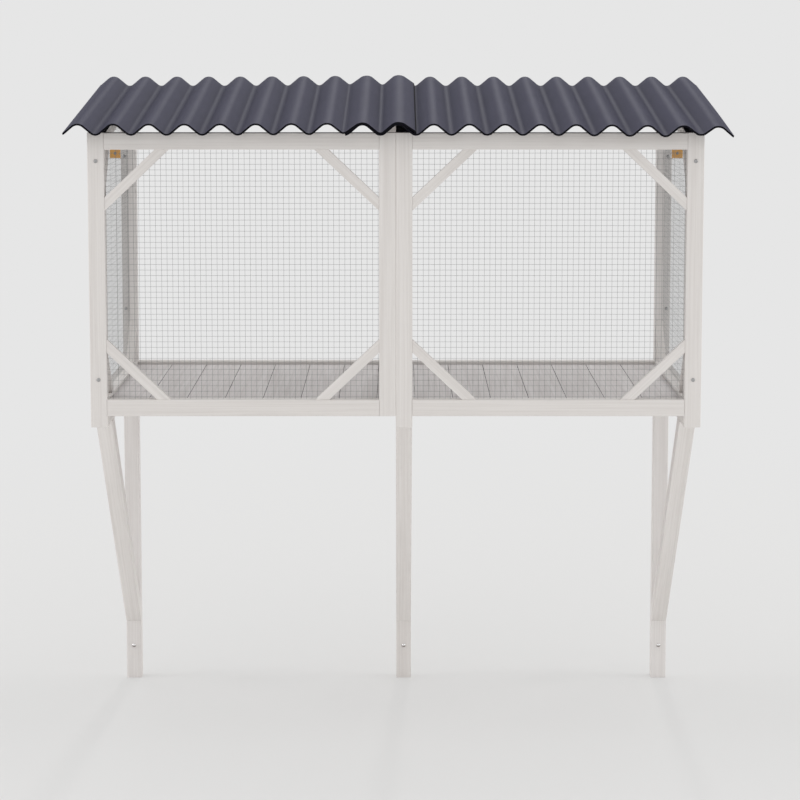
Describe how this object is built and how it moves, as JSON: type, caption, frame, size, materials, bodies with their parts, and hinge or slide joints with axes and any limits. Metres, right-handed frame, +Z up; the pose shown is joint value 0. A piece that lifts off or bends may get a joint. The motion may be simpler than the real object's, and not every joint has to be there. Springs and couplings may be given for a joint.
{
  "type": "window catio",
  "caption": "Wall-hung timber cat enclosure with welded-mesh front and sides, boarded floor, open back, corrugated sloping roof and braced legs below.",
  "frame": {"origin": "on the wall plane, midway between the wall bolt holes of the two outer legs", "axes": "+X to the right seen from the front, +Y back into the wall, +Z up"},
  "size_m": [1.5148, 0.8394, 1.5575],
  "materials": {
    "frame_timber": "white wash, matt",
    "floor_timber": "white wash, matt",
    "mesh_wire": "galvanised",
    "roof_sheet": "satin",
    "bracket_metal": "satin",
    "bolt_steel": "satin"
  },
  "bodies": {
    "root": {"bearer_centre": "frame_timber", "bearer_left": "frame_timber", "bearer_right": "frame_timber", "bottom_rail_left": "frame_timber", "bottom_rail_right": "frame_timber", "floor_boards": "floor_timber", "floor_joist": "frame_timber", "floor_ledger_front": "frame_timber", "floor_ledger_rear": "frame_timber", "front_brace_left_bottom_inner": "frame_timber", "front_brace_left_bottom_outer": "frame_timber", "front_brace_left_top_inner": "frame_timber", "front_brace_left_top_outer": "frame_timber", "front_brace_right_bottom_inner": "frame_timber", "front_brace_right_bottom_outer": "frame_timber", "front_brace_right_top_inner": "frame_timber", "front_brace_right_top_outer": "frame_timber", "front_mesh_left": "mesh_wire", "front_mesh_right": "mesh_wire", "front_post_centre": "frame_timber", "front_post_left": "frame_timber", "front_post_right": "frame_timber", "front_stile": "frame_timber", "leg_centre": "frame_timber", "leg_left": "frame_timber", "leg_right": "frame_timber", "post_bolts": "bolt_steel", "rafter_centre": "frame_timber", "rafter_left": "frame_timber", "rafter_right": "frame_timber", "rear_base_rail": "frame_timber", "rear_stile": "frame_timber", "rear_top_rail": "frame_timber", "roof_sheet_left": "roof_sheet", "roof_sheet_right": "roof_sheet", "side_brace_left_bottom_front": "frame_timber", "side_brace_left_bottom_rear": "frame_timber", "side_brace_left_top_front": "frame_timber", "side_brace_left_top_rear": "frame_timber", "side_brace_right_bottom_front": "frame_timber", "side_brace_right_bottom_rear": "frame_timber", "side_brace_right_top_front": "frame_timber", "side_brace_right_top_rear": "frame_timber", "side_mesh_left": "mesh_wire", "side_mesh_right": "mesh_wire", "side_rail_left": "frame_timber", "side_rail_right": "frame_timber", "strut_centre": "frame_timber", "strut_left": "frame_timber", "strut_right": "frame_timber", "top_rail_left": "frame_timber", "top_rail_right": "frame_timber", "wall_bracket_left": "bracket_metal", "wall_bracket_right": "bracket_metal"}
  },
  "joints": []
}
